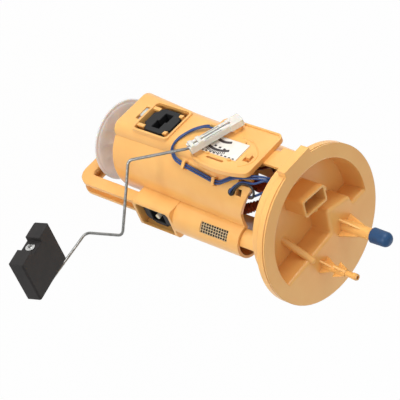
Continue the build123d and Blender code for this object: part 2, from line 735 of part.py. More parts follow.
with BuildPart() as neck:
    with BuildSketch(level(strainer_middle + strainer_thickness / 2 + 1.5, pump_x, pump_y)):
        Circle(neck_diameter / 2)
        Circle(neck_bore / 2, mode=Mode.SUBTRACT)
    extrude(amount=pump_foot - strainer_middle - strainer_thickness / 2 - 1.5)
finish(neck.part, "strainer_neck")


# Strainer guard: a stirrup of I section that passes under the strainer
def stirrup(inset):
    """The area inside the stirrup's outline drawn in by inset."""
    left, right, bottom = guard_left + inset, guard_right - inset, guard_bottom + inset
    with BuildSketch(mode=Mode.PRIVATE) as outline:
        with BuildLine():
            FilletPolyline(
                (left, block_low), (left, bottom), (right, bottom), (right, block_low),
                radius=guard_corner - inset,
            )
            Line((right, block_low), (left, block_low))
        make_face()
    return outline.sketch


channel = (guard_band - guard_web) / 2
with BuildPart() as guard:
    with BuildSketch(facing_front(guard_front), facing_front(guard_front + guard_depth - guard_plate)):
        add(stirrup(0) - stirrup(guard_band))
    extrude(amount=-guard_plate)
    with BuildSketch(facing_front(guard_front + guard_plate)):
        add(stirrup(channel) - stirrup(channel + guard_web))
    extrude(amount=-(guard_depth - 2 * guard_plate))
    # The short leg ends under the pot's floor
    with BuildSketch(level(pot_bottom)):
        with Locations((guard_left, guard_front)):
            Rectangle(guard_band + 1, guard_depth, align=(Align.MIN, Align.MIN))
    extrude(amount=block_low - pot_bottom, mode=Mode.SUBTRACT)
finish(guard.part, "strainer_guard")

# Level sender: tray clipped on the deck, with its skirt down to the pot's round wall
tray_face = deck_face - tray_floor
boss_top = tray_face - boss_height


def tray_outline(inset):
    """The tray's outline, bulging away from the pivot, drawn in by inset."""
    left, right, bulge = tray_left + inset, tray_right - inset, tray_bulge - inset
    low, high = tray_low + inset, tray_high - inset
    with BuildSketch(mode=Mode.PRIVATE) as outline:
        with BuildLine():
            Polyline((right, high), (left, high), (left, low), (right, low))
            ThreePointArc((right, low), (bulge, (low + high) / 2), (right, high))
        make_face()
        fillet(outline.vertices(), max(tray_corner - inset, 1))
    return outline.sketch


outer_outline = tray_outline(0)
inner_outline = tray_outline(tray_wall)
skirt_outline = tray_outline(tray_overhang)
skirt_foot = pot_y - 20

with BuildPart() as tray:
    with BuildSketch(facing_front(deck_face)):
        add(outer_outline)
    extrude(amount=tray_floor + tray_rim)
    with BuildSketch(facing_front(skirt_foot)):
        add(skirt_outline)
    extrude(amount=skirt_foot - deck_face)
    add(pot_outside, mode=Mode.SUBTRACT)
    with BuildSketch(facing_front(tray_face)):
        add(inner_outline)
    extrude(amount=tray_rim, mode=Mode.SUBTRACT)
    # Bearing boss, slot beside the card and snap window with its nub
    with BuildSketch(facing_front(tray_face, pivot_x, pivot_z)):
        Circle(boss_diameter / 2)
    extrude(amount=boss_height)
    with BuildSketch(facing_front(tray_face, pivot_x, pivot_z)):
        Circle(pivot_diameter / 2 + 0.02)
    extrude(amount=boss_height, mode=Mode.SUBTRACT)
    with BuildSketch(facing_front(tray_face)):
        with Locations((card_right + 4, (card_low + card_high) / 2)):
            SlotOverall(18, 2, rotation=90)
        with Locations((-1, card_high + 8)):
            Rectangle(7, 7)
    extrude(amount=-tray_floor, mode=Mode.SUBTRACT)
    with BuildSketch(facing_front(deck_face)):
        with Locations((-2.5, card_high + 8)):
            Rectangle(4, 4)
    extrude(amount=tray_floor + 1.2)
    # Claws that hold the card's two long edges
    for x in (card_left - 0.8, card_right + 0.8):
        for z in (card_low + 9, card_high - 6):
            with BuildSketch(facing_front(tray_face, x, z)):
                Rectangle(1.6, 3)
            extrude(amount=card_thickness + 0.6)
finish(tray.part, "sender_tray")

with BuildPart() as card:
    with BuildSketch(facing_front(tray_face)):
        with Locations(((card_left + card_right) / 2, (card_low + card_high) / 2)):
            Rectangle(card_right - card_left, card_high - card_low)
    extrude(amount=card_thickness)
finish(card.part, "resistor_card")

# Printed on the card: two arcs that the wiper runs on and a comb of trimming pads
card_face = tray_face - card_thickness
track_start = arm_angle - 3
with BuildPart() as tracks:
    for radius in (track_outer, track_inner):
        with BuildSketch(facing_front(card_face, pivot_x, pivot_z)):
            with BuildLine():
                CenterArc((0, 0), radius + track_width / 2, track_start, arm_travel + 6)
                CenterArc((0, 0), radius - track_width / 2, track_start, arm_travel + 6)
                for end in (radians(track_start), radians(track_start + arm_travel + 6)):
                    Line(
                        ((radius - track_width / 2) * cos(end), (radius - track_width / 2) * sin(end)),
                        ((radius + track_width / 2) * cos(end), (radius + track_width / 2) * sin(end)),
                    )
            make_face()
        extrude(amount=track_thickness)
    with BuildSketch(facing_front(card_face, pivot_x, pivot_z)):
        with PolarLocations(pad_radius, pad_count, start_angle=track_start + 2, angular_range=arm_travel):
            Rectangle(pad_length, pad_width)
    extrude(amount=track_thickness)
finish(tracks.part, "resistor_tracks")

# Wiper carrier: a hub on the pivot and an arm with a groove for the float wire
carrier_face = boss_top - carrier_lift
arm_plane = facing_front(carrier_face, pivot_x, pivot_z, arm_angle)
wire_height = carrier_depth - 1.5
with BuildPart() as wiper:
    with BuildSketch(arm_plane):
        with Locations((-head_length, 0)):
            Rectangle(2 * head_length, head_width, align=(Align.MIN, Align.CENTER))
        Rectangle(carrier_length, carrier_width, align=(Align.MIN, Align.CENTER))
    extrude(amount=carrier_depth)
    fillet(wiper.edges().filter_by(Axis.Y), 0.45)
    with BuildSketch(arm_plane.offset(carrier_depth)):
        with Locations((wire_hook - wire_diameter / 2, 0)):
            Rectangle(carrier_length, wire_diameter + 2 * running_gap, align=(Align.MIN, Align.CENTER))
    extrude(amount=-(carrier_depth - wire_height + wire_diameter / 2 + running_gap), mode=Mode.SUBTRACT)
    with BuildSketch(arm_plane):
        with Locations((wire_hook, 0)):
            Circle(wire_diameter / 2 + running_gap)
    extrude(amount=carrier_depth, mode=Mode.SUBTRACT)
    with BuildSketch(arm_plane):
        Circle(pivot_diameter / 2 + running_gap)
    extrude(amount=carrier_depth - pivot_cover, mode=Mode.SUBTRACT)
    # Clips over the wire, and windows through the arm's two sides
    with BuildSketch(arm_plane.offset(carrier_depth)):
        with Locations((32, 0), (39, 0)):
            Rectangle(3, carrier_width)
    extrude(amount=1.2)
    with BuildSketch(arm_plane.offset(carrier_depth)):
        with Locations((20, carrier_width / 2 - 1.3), (20, 1.3 - carrier_width / 2)):
            SlotOverall(15, 1.4)
    extrude(amount=-2.5, mode=Mode.SUBTRACT)
finish(wiper.part, "wiper_carrier")

with BuildPart() as leaf:
    with BuildSketch(arm_plane):
        with Locations((boss_diameter, 0)):
            Rectangle(track_outer + 2 - boss_diameter, leaf_width, align=(Align.MIN, Align.CENTER))
    extrude(amount=-leaf_thickness)
    with BuildSketch(arm_plane.offset(-leaf_thickness)):
        with Locations((track_inner, 0), (track_outer, 0)):
            Rectangle(1.4, 1.4)
    extrude(amount=-(boss_height + carrier_lift - leaf_thickness - card_thickness - track_thickness - 0.1))
finish(leaf.part, "wiper_contact")

with BuildPart() as pivot_pin:
    with BuildSketch(facing_front(tray_face, pivot_x, pivot_z)):
        Circle(pivot_diameter / 2)
    extrude(amount=boss_height + carrier_lift + carrier_depth - pivot_cover - seat_gap)
finish(pivot_pin.part, "pivot_pin")

# Float wire, hooked into the carrier and bent round the casing to the float
slope = radians(arm_angle)
wire_y = carrier_face - wire_height
float_run_y = float_front + float_depth + wire_bend + 0.5
hook = (pivot_x + wire_hook * cos(slope), pivot_z + wire_hook * sin(slope))
wire_exit = carrier_length + 1.5
exit_point = (pivot_x + wire_exit * cos(slope), pivot_z + wire_exit * sin(slope))
wire_points = [
    (hook[0], carrier_face - 0.2, hook[1]),
    (hook[0], wire_y, hook[1]),
    (exit_point[0], wire_y, exit_point[1]),
    (44.3, wire_y, -138.5),
    (79.0, float_run_y, -138.5),
    (89.5, float_run_y, -172.5),
    (float_pin_x, float_run_y, float_pin_z),
    (float_pin_x, float_front + channel_depth - 2, float_pin_z),
]
finish(tube(wire_points, [1.6] + 5 * [wire_bend], wire_diameter), "float_wire")

float_plane = facing_front(float_front, float_pin_x, float_pin_z, float_tilt)
with BuildPart() as float_block:
    with BuildSketch(float_plane):
        Rectangle(float_length, float_thickness)
    extrude(amount=-float_depth)
    chamfer(float_block.edges().filter_by(Axis.Y), 1)
    with BuildSketch(float_plane):
        Rectangle(channel_width, float_thickness)
    extrude(amount=-channel_depth, mode=Mode.SUBTRACT)
    with BuildSketch(float_plane):
        Circle(wire_diameter / 2 + running_gap)
    extrude(amount=-float_depth, mode=Mode.SUBTRACT)
finish(float_block.part, "float")

with BuildPart() as nut:
    with BuildSketch(float_plane.offset(-channel_depth + seat_gap)):
        Circle(nut_diameter / 2)
        Circle(wire_diameter / 2 + 0.02, mode=Mode.SUBTRACT)
        with PolarLocations(nut_diameter / 4 + 0.6, 6):
            Rectangle(1.6, 0.5, mode=Mode.SUBTRACT)
    extrude(amount=nut_thickness)
finish(nut.part, "push_nut")

# Hoses from the pump and the gallery to the flange's two nipples
outlet_end = (pump_x, pump_y, outlet_tip - 8)
feed_points = [
    outlet_end,
    (pump_x, pump_y, outlet_tip + 10),
    (pump_x - 3, pump_y + 10, outlet_tip + 22),
    (feed_x, feed_y, nipple_foot - 16),
    (feed_x, feed_y, nipple_foot + 8),
]
feed_radii = largest_radii(feed_points)
print("feed hose radii", [round(radius, 1) for radius in feed_radii])
feed_hose_bore = feed_diameter + 2 * running_gap
finish(tube(feed_points, feed_radii, hose_diameter, feed_hose_bore), "feed_hose")

jet_top, jet_radius, jet_length = -52.0, 5.5, 26.0
jet_foot_radius, jet_foot_height = 8.0, 4.0
return_points = [
    (gallery_x, gallery_y, jet_top - 6),
    (gallery_x, gallery_y, jet_top + 12),
    (gallery_x - 5, gallery_y + 7, jet_top + 26),
    (return_x, return_y, nipple_foot - 9),
    (return_x, return_y, nipple_foot + 8),
]
return_radii = largest_radii(return_points)
print("return hose radii", [round(radius, 1) for radius in return_radii])
return_hose_bore = return_diameter + 2 * running_gap
finish(tube(return_points, return_radii, return_hose_diameter, return_hose_bore), "return_hose")

with BuildPart() as jet:
    with BuildSketch(level(gallery_top, gallery_x, gallery_y)):
        Circle(jet_foot_radius)
    extrude(amount=jet_foot_height)
    with BuildSketch(level(gallery_top + jet_foot_height, gallery_x, gallery_y)):
        Circle(jet_radius)
    extrude(amount=jet_length, taper=3)
    with BuildSketch(level(gallery_top, gallery_x, gallery_y)):
        Circle(return_diameter / 2)
    extrude(amount=jet_top - gallery_top)
    with BuildSketch(level(jet_top, gallery_x, gallery_y)):
        Circle(return_bore / 2)
    extrude(amount=-20, mode=Mode.SUBTRACT)
finish(jet.part, "jet_pump")

# Leads: the sender's pair runs round the deck's end, along the tray and over the pot's mouth
def pin_foot(index):
    """The lower end of a connector pin, counted from the middle."""
    shift = (index - 1.5) * pin_spacing
    turn = radians(connector_angle)
    return (connector_x + shift * cos(turn), connector_y + shift * sin(turn), pin_low)


clip_low, clip_high = [
    Vector(*on_pot(angle, height, lead_gap)) for angle, height in zip(clip_angles, clip_heights)
]
clip_run = (clip_high - clip_low).normalized()
lead_run = [
    (-20.0, -49.9, tray_low),
    (-20.0, -49.9, -110.0),
    (-13.0, -48.6, -121.0),
    (0.0, -48.3, -126.5),
    (8.6, -45.4, -128.0),
    (12.4, -38.6, -123.5),
    tuple(clip_low - clip_run * 4),
    tuple(clip_high + clip_run * 4),
    (15.8, -37.6, -65.0),
    (13.0, -41.8, -56.0),
    (11.6, -44.0, -46.0),
    (8.0, -44.0, -35.0),
    (3.0, -40.0, -26.5),
]
leads = []
for side, index in ((0, 2), (1, 1)):
    points = [beside(point, side * lead_pitch) for point in lead_run]
    foot = pin_foot(index)
    points += [(foot[0] + 1, foot[1] - 8, pin_low - 2 - 2 * side), (foot[0], foot[1], pin_low - 5), foot]
    radii = largest_radii(points)
    print("sender lead radii", [round(radius, 1) for radius in radii])
    leads.append(tube(points, radii, lead_diameter))
finish(Compound(children=leads), "sender_leads")

leads = []
for side, index in ((-1, 0), (1, 3)):
    foot = pin_foot(index)
    terminal = (pump_x + side * terminal_spacing / 2, pump_y - 8, pump_top + 5)
    points = [
        terminal,
        (terminal[0], terminal[1], terminal[2] + 9),
        (terminal[0] + side * 4, terminal[1] - 4, terminal[2] + 20),
        (foot[0] + side * 3, foot[1] - 2, -40),
        (foot[0], foot[1], -31),
        foot,
    ]
    radii = largest_radii(points)
    print("pump lead radii", [round(radius, 1) for radius in radii])
    leads.append(tube(points, radii, lead_diameter + 0.4))
finish(Compound(children=leads), "pump_leads")
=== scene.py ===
import math

import bmesh
import bpy
from mathutils import Matrix, Vector


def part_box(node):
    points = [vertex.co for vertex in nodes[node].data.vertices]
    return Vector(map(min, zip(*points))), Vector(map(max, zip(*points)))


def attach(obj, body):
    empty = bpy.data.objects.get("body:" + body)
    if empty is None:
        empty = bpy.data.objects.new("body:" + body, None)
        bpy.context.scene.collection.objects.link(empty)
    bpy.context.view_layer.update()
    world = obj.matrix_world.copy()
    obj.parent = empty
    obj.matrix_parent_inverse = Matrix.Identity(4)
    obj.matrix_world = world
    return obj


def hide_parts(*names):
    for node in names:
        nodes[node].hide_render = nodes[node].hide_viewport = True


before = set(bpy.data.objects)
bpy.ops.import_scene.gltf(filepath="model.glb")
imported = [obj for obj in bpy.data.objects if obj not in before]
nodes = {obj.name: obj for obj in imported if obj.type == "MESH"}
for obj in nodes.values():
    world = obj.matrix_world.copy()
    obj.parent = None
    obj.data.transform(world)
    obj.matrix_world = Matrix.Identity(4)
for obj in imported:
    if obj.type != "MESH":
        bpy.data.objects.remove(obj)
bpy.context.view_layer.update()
scene = bpy.context.scene
mm = 0.001


def linear(hexColour):  # sRGB hex to the linear colour that shaders use
    channels = [int(hexColour[i : i + 2], 16) / 255 for i in (1, 3, 5)]
    return tuple(c / 12.92 if c <= 0.04045 else ((c + 0.055) / 1.055) ** 2.4 for c in channels) + (1.0,)


def addNode(tree, kind, setup=None):  # one node with its settings, input values and incoming links
    node = tree.nodes.new(kind)
    for name, value in (setup or {}).items():
        if isinstance(value, bpy.types.Node):
            value = value.outputs[0]
        if isinstance(name, str) and hasattr(node, name):
            setattr(node, name, value)
        elif isinstance(value, bpy.types.NodeSocket):
            tree.links.new(value, node.inputs[name])
        else:
            node.inputs[name].default_value = value
    return node


# Every finish starts from one recipe: a base colour that drifts a little over the moulding,
# a fine surface relief, and edges rounded for light only. Depths are in millimetres.
recipe = {"driftDetail": 3.0, "driftLow": 0.35, "driftHigh": 0.65, "reliefDepth": 0.05, "edgeSamples": 4,
          "glowDepth": 3.0, "glowSpread": (1.0, 0.5, 0.25)}


def makeFinish(name, look):
    material = bpy.data.materials.new(name)
    material.use_nodes = True
    tree = material.node_tree
    tree.nodes.clear()
    place = addNode(tree, "ShaderNodeTexCoord").outputs["Object"]
    drift = addNode(tree, "ShaderNodeTexNoise", {
        "Scale": 1 / (look["driftSize"] * mm), "Detail": recipe["driftDetail"], "Vector": place})
    spread = addNode(tree, "ShaderNodeMapRange", {
        "From Min": recipe["driftLow"], "From Max": recipe["driftHigh"], "Value": drift})
    colour = addNode(tree, "ShaderNodeMix", {
        "data_type": "RGBA", 0: spread, 6: linear(look["colour"]), 7: linear(look["second"])})
    relief = addNode(tree, look.get("relief", "ShaderNodeTexNoise"), {
        "Scale": 1 / (look["grainSize"] * mm), "Vector": place})
    rounded = addNode(tree, "ShaderNodeBevel", {
        "samples": recipe["edgeSamples"], "Radius": look["edge"] * mm})
    bump = addNode(tree, "ShaderNodeBump", {
        "Strength": look["grain"], "Distance": recipe["reliefDepth"] * mm,
        "Height": relief, "Normal": rounded})
    shader = addNode(tree, "ShaderNodeBsdfPrincipled", {
        "Metallic": look.get("metallic", 0.0),
        "Roughness": look["roughness"],
        "IOR": look.get("ior", 1.5),
        "Subsurface Weight": look.get("glow", 0.0),
        "Subsurface Radius": recipe["glowSpread"],
        "Subsurface Scale": recipe["glowDepth"] * mm,
        "Transmission Weight": look.get("clear", 0.0),
        "Base Color": colour.outputs[2],
        "Normal": bump,
    })
    addNode(tree, "ShaderNodeOutputMaterial", {"Surface": shader})
    return material


finishes = {
    # Acetal moulded in a polished tool: satin, faintly waxy, warm where light soaks in
    "peachAcetal": {"colour": "#F3BA6C", "second": "#EFB263", "driftSize": 30, "grainSize": 0.5,
                    "grain": 0.12, "roughness": 0.3, "glow": 0.08, "edge": 0.9},
    # Natural acetal in thin walls: milky, partly clear, with bright edges
    "milkyAcetal": {"colour": "#FBF9F0", "second": "#F4F1E6", "driftSize": 6, "grainSize": 0.5,
                    "grain": 0.2, "roughness": 0.16, "glow": 0.2, "edge": 0.5, "clear": 0.3, "ior": 1.45},
    # Undyed acetal in thick walls: cream, closed, waxy
    "creamAcetal": {"colour": "#E8DFC6", "second": "#DDD2B4", "driftSize": 8, "grainSize": 0.5,
                    "grain": 0.15, "roughness": 0.34, "glow": 0.3, "edge": 0.3},
    # Nitrile rubber from a rough mould: near black, soft highlights
    "nitrileRubber": {"colour": "#08090B", "second": "#0F1012", "driftSize": 6, "grainSize": 0.25,
                      "grain": 0.3, "roughness": 0.62, "edge": 0.6},
    # Closed-cell nitrile foam with a cut skin: brown-black, dull, tiny cells
    "cellularFoam": {"colour": "#151211", "second": "#1D1918", "driftSize": 10, "grainSize": 0.6,
                     "grain": 0.35, "relief": "ShaderNodeTexVoronoi", "roughness": 0.7, "edge": 1.8},
    # Extruded polyamide fuel tube: red-brown and glossy
    "brownPolyamide": {"colour": "#8A381C", "second": "#9A4524", "driftSize": 9, "grainSize": 0.8,
                       "grain": 0.1, "roughness": 0.3, "edge": 0.3},
    # Extruded fluoropolymer insulation: smooth blue
    "blueInsulation": {"colour": "#27477F", "second": "#203D70", "driftSize": 7, "grainSize": 0.6,
                       "grain": 0.1, "roughness": 0.38, "edge": 0.2},
    # The same insulation dyed a dull red
    "redInsulation": {"colour": "#7A2A20", "second": "#6A221A", "driftSize": 7, "grainSize": 0.6,
                      "grain": 0.1, "roughness": 0.38, "edge": 0.2},
    # The same insulation with carbon black: near black, slight gloss
    "blackInsulation": {"colour": "#1E1C1C", "second": "#272525", "driftSize": 7, "grainSize": 0.6,
                        "grain": 0.1, "roughness": 0.35, "edge": 0.2},
    # Polyethylene dip moulding: dull blue, slightly chalky
    "bluePolyethylene": {"colour": "#164A78", "second": "#13416A", "driftSize": 6, "grainSize": 0.5,
                         "grain": 0.2, "roughness": 0.5, "edge": 0.5},
    # Zinc-plated drawn steel: light grey, satin
    "zincSteel": {"colour": "#B9BAB8", "second": "#A9ABAA", "driftSize": 12, "grainSize": 0.6,
                  "grain": 0.15, "roughness": 0.34, "metallic": 1.0, "edge": 0.3},
    # Bare drawn steel wire: darker grey, uneven along its length
    "drawnWire": {"colour": "#9A9A98", "second": "#83837F", "driftSize": 3, "grainSize": 0.3,
                  "grain": 0.2, "roughness": 0.3, "metallic": 1.0, "edge": 0.2},
    # Stamped spring steel: bright and smooth
    "springSteel": {"colour": "#D8D8D6", "second": "#C2C2C0", "driftSize": 2, "grainSize": 0.3,
                    "grain": 0.1, "roughness": 0.2, "metallic": 1.0, "edge": 0.15},
    # Stamped brass under tin: silver with a warm cast
    "tinnedBrass": {"colour": "#C9C3B4", "second": "#BBB29E", "driftSize": 2, "grainSize": 0.3,
                    "grain": 0.1, "roughness": 0.28, "metallic": 1.0, "edge": 0.1},
    # Rolled brass strip: yellow, satin
    "brassLeaf": {"colour": "#C8A25A", "second": "#B98F48", "driftSize": 3, "grainSize": 0.3,
                  "grain": 0.1, "roughness": 0.3, "metallic": 1.0, "edge": 0.1},
    # Fired alumina card: white, faintly warm, eggshell
    "firedCeramic": {"colour": "#EEEAE2", "second": "#E6E0D6", "driftSize": 5, "grainSize": 0.3,
                     "grain": 0.15, "roughness": 0.4, "edge": 0.15},
    # Printed and fired resistor ink: dark grey, a little glossy
    "resistorInk": {"colour": "#3B3638", "second": "#4A4446", "driftSize": 2, "grainSize": 0.2,
                    "grain": 0.2, "roughness": 0.35, "edge": 0.05},
    # Woven polyamide threads: pale cream, lightly glowing
    "screenThread": {"colour": "#EFD3AC", "second": "#E2C191", "driftSize": 2, "grainSize": 0.3,
                     "grain": 0.1, "roughness": 0.4, "glow": 0.2, "edge": 0.1},
    # Woven polyester filter mesh, whose threads are too fine to draw: dull, and near black as painted shade
    # of the dark interior behind the screen
    "filterMeshPaintedShade": {"colour": "#1D0F08", "second": "#2A170D", "driftSize": 1.5, "grainSize": 0.4,
                   "grain": 0.5, "roughness": 0.6, "edge": 0.05},
    # Melt-blown filter cloth: milky white, very soft highlights
    "filterCloth": {"colour": "#E9E6E4", "second": "#DCD7D4", "driftSize": 14, "grainSize": 0.5,
                    "grain": 0.3, "roughness": 0.55, "glow": 0.35, "edge": 0.5},
}
materials = {name: makeFinish(name, look) for name, look in finishes.items()}
print("finishes:", len(materials))

nodeFinish = {
    "peachAcetal": ["flange_cap", "reservoir_pot", "strainer_guard", "sender_tray"],
    "milkyAcetal": ["wiper_carrier"],
    "creamAcetal": ["pump_carrier", "pump_inlet_cover", "pump_outlet_cover", "jet_pump", "strainer_neck"],
    "nitrileRubber": ["deck_mount", "side_mount", "rear_mount", "floor_valve"],
    "cellularFoam": ["float"],
    "brownPolyamide": ["feed_hose", "return_hose"],
    "blueInsulation": ["sender_leads"],
    "redInsulation": ["pump_leads"],
    "bluePolyethylene": ["port_cap"],
    "zincSteel": ["pump_case"],
    "drawnWire": ["float_wire", "pivot_pin"],
    "springSteel": ["push_nut"],
    "tinnedBrass": ["connector_pins"],
    "brassLeaf": ["wiper_contact"],
    "firedCeramic": ["resistor_card"],
    "resistorInk": ["resistor_tracks"],
    "screenThread": ["gallery_screen"],
    "filterCloth": ["strainer_disc"],
}
for finish, names in nodeFinish.items():
    for name in names:
        nodes[name].data.materials.clear()
        nodes[name].data.materials.append(materials[finish])
print("nodes finished:", sum(len(names) for names in nodeFinish.values()))


def keepPiece(name, mesh, finish, body, replaced=()):  # a finished mesh becomes a piece of the part
    mesh.materials.clear()
    mesh.materials.append(materials[finish])
    piece = bpy.data.objects.new(name, mesh)
    scene.collection.objects.link(piece)
    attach(piece, body)
    if replaced:
        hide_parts(*replaced)


def shift(place):  # a move given in millimetres
    return Matrix.Translation(Vector(place) * mm)


def sideFrame(origin, turn):  # x along the wall, y up, z out of the wall
    angle = math.radians(turn)
    along = Vector((-math.sin(angle), math.cos(angle), 0))
    outward = Vector((math.cos(angle), math.sin(angle), 0))
    return shift(origin) @ Matrix((along, Vector((0, 0, 1)), outward)).transposed().to_4x4()


weldGap = 0.01  # corners nearer than this become one


def meshOf(form, name, smooth=True):  # merged corners and outward faces, then a plain mesh
    bmesh.ops.remove_doubles(form, verts=form.verts, dist=weldGap * mm)
    bmesh.ops.recalc_face_normals(form, faces=form.faces)
    for face in form.faces:
        face.smooth = smooth
    mesh = bpy.data.meshes.new(name)
    form.to_mesh(mesh)
    form.free()
    return mesh


def loopAt(form, outline, height):  # a flat outline's corners at one height
    return [form.verts.new((u * mm, v * mm, height * mm)) for u, v in outline]


def ringOf(form, steps, point):  # a round of corners, each where point puts its angle, in millimetres
    return [form.verts.new([c * mm for c in point(2 * math.pi * i / steps)]) for i in range(steps)]


def turnedRings(form, profile, steps):  # a ring for each radius and height of a turned profile
    return [ringOf(form, steps, lambda angle: (radius * math.cos(angle), radius * math.sin(angle), height))
            for radius, height in profile]


def skin(form, rings, ends=()):  # faces between neighbouring rings, and over the ends that are named
    for lower, upper in zip(rings, rings[1:]):
        for index in range(len(lower)):
            after = (index + 1) % len(lower)
            form.faces.new((lower[index], lower[after], upper[after], upper[index]))
    for end in ends:
        form.faces.new(rings[end])


def plainMesh(holder):  # what modifiers and bevels make of an object, as a mesh; the object goes
    bpy.context.view_layer.update()
    mesh = bpy.data.meshes.new_from_object(holder.evaluated_get(bpy.context.evaluated_depsgraph_get()))
    bpy.data.objects.remove(holder)
    return mesh


def smoothCurve(name, route, fineness):  # a NURBS curve along a route given in millimetres
    curve = bpy.data.curves.new(name, "CURVE")
    curve.dimensions = "3D"
    spline = curve.splines.new("NURBS")
    spline.points.add(len(route) - 1)
    for point, place in zip(spline.points, route):
        point.co = (*(c * mm for c in place), 1.0)
    spline.order_u = 3
    spline.use_endpoint_u = True
    spline.resolution_u = fineness
    holder = bpy.data.objects.new(name, curve)
    scene.collection.objects.link(holder)
    return holder


leadMesh = {"fineness": 8, "roundness": 4}


def tubeMesh(name, route, radius):  # a capped round tube along a route
    holder = smoothCurve(name, route, leadMesh["fineness"])
    holder.data.bevel_depth = radius * mm
    holder.data.bevel_resolution = leadMesh["roundness"]
    holder.data.use_fill_caps = True
    mesh = plainMesh(holder)
    mesh.shade_smooth()
    return mesh


def newGroup(name, inputs):  # an empty geometry group and the sockets of its named inputs
    tree = bpy.data.node_groups.new(name, "GeometryNodeTree")
    for label, kind in inputs.items():
        tree.interface.new_socket(label, in_out="INPUT", socket_type=kind)
    tree.interface.new_socket("Geometry", in_out="OUTPUT", socket_type="NodeSocketGeometry")
    return tree, addNode(tree, "NodeGroupInput").outputs


def endGroup(tree, shape, finish):  # the shape gets its material and leaves the group
    finished = addNode(tree, "GeometryNodeSetMaterial", {"Material": materials[finish], "Geometry": shape})
    addNode(tree, "NodeGroupOutput", {0: finished})


def bakeGroup(name, tree, values, place):  # runs a node group once and keeps its plain mesh
    holder = bpy.data.objects.new(name, bpy.data.meshes.new(name))
    scene.collection.objects.link(holder)
    modifier = holder.modifiers.new(name, "NODES")
    modifier.node_group = tree
    for item in tree.interface.items_tree:
        if item.in_out == "INPUT":
            modifier[item.identifier] = values[item.name]
    mesh = plainMesh(holder)
    mesh.transform(place)
    return mesh


# Gallery screen: coarse woven polyamide threads over a filter mesh coloured near black as painted shade of
# the interior behind it
weave = {
    "galleryAxis": (28.0, 13.0), "galleryRadius": 14.5, "turn": -42.0, "middle": -76.0,
    "width": 9.0, "height": 30.0, "columns": 5, "rows": 12,
    "thread": 0.55, "threadSides": 8, "pointsPerCrossing": 6.0, "wave": 0.28, "depth": -1.3,
}


def weaveGroup():
    tree, given = newGroup("threadWeave", {
        "Width": "NodeSocketFloat", "Height": "NodeSocketFloat", "Columns": "NodeSocketInt",
        "Rows": "NodeSocketInt", "Thread": "NodeSocketFloat", "Wave": "NodeSocketFloat"})
    maths, vector = "ShaderNodeMath", "ShaderNodeCombineXYZ"
    radius = addNode(tree, maths, {"operation": "MULTIPLY", 0: given["Thread"], 1: 0.5})
    ring = addNode(tree, "GeometryNodeCurvePrimitiveCircle", {
        "Resolution": weave["threadSides"], "Radius": radius})
    place = addNode(tree, "ShaderNodeSeparateXYZ", {0: addNode(tree, "GeometryNodeInputPosition")})
    joined = addNode(tree, "GeometryNodeJoinGeometry")
    upright = ("Height", "Width", "Columns", "Rows"), ("Y", "X"), 1.0
    level = ("Width", "Height", "Rows", "Columns"), ("X", "Y"), -1.0
    for labels, (along, aside), side in (upright, level):
        length, spread, count, crossed = (given[label] for label in labels)
        # One straight thread with points enough to bend, repeated side by side
        ahead = addNode(tree, maths, {"operation": "MULTIPLY", 0: length, 1: 0.5})
        behind = addNode(tree, maths, {"operation": "MULTIPLY", 0: length, 1: -0.5})
        line = addNode(tree, "GeometryNodeCurvePrimitiveLine", {
            "Start": addNode(tree, vector, {along: behind}), "End": addNode(tree, vector, {along: ahead})})
        points = addNode(tree, maths, {"operation": "MULTIPLY", 0: crossed, 1: weave["pointsPerCrossing"]})
        fine = addNode(tree, "GeometryNodeResampleCurve", {"Curve": line, "Count": points})
        gaps = addNode(tree, maths, {"operation": "SUBTRACT", 0: count, 1: 1.0})
        pitch = addNode(tree, maths, {"operation": "DIVIDE", 0: spread, 1: gaps})
        first = addNode(tree, maths, {"operation": "MULTIPLY", 0: spread, 1: -0.5})
        row = addNode(tree, "GeometryNodeMeshLine", {
            "Count": count, "Start Location": addNode(tree, vector, {aside: first}),
            "Offset": addNode(tree, vector, {aside: pitch})})
        laid = addNode(tree, "GeometryNodeInstanceOnPoints", {"Points": row, "Instance": fine})
        real = addNode(tree, "GeometryNodeRealizeInstances", {"Geometry": laid})
        # Each thread goes over one crossing and under the next, and its neighbour the other way round
        crossedGaps = addNode(tree, maths, {"operation": "SUBTRACT", 0: crossed, 1: 1.0})
        crossedPitch = addNode(tree, maths, {"operation": "DIVIDE", 0: length, 1: crossedGaps})
        crossing = addNode(tree, maths, {"operation": "DIVIDE", 0: place.outputs[along], 1: crossedPitch})
        phase = addNode(tree, maths, {"operation": "MULTIPLY", 0: crossing, 1: math.pi})
        column = addNode(tree, maths, {"operation": "DIVIDE", 0: place.outputs[aside], 1: pitch})
        index = addNode(tree, maths, {"operation": "ROUND", 0: column})
        halfTurns = addNode(tree, maths, {"operation": "MULTIPLY", 0: index, 1: math.pi})
        turned = addNode(tree, maths, {"operation": "ADD", 0: phase, 1: halfTurns})
        cosine = addNode(tree, maths, {"operation": "COSINE", 0: turned})
        height = addNode(tree, maths, {"operation": "MULTIPLY", 0: cosine, 1: given["Wave"]})
        lift = addNode(tree, maths, {"operation": "MULTIPLY", 0: height, 1: side})
        waved = addNode(tree, "GeometryNodeSetPosition", {
            "Geometry": real, "Offset": addNode(tree, vector, {"Z": lift})})
        solid = addNode(tree, "GeometryNodeCurveToMesh", {
            "Curve": waved, "Profile Curve": ring, "Fill Caps": True})
        tree.links.new(solid.outputs[0], joined.inputs[0])
    endGroup(tree, joined, "screenThread")
    return tree


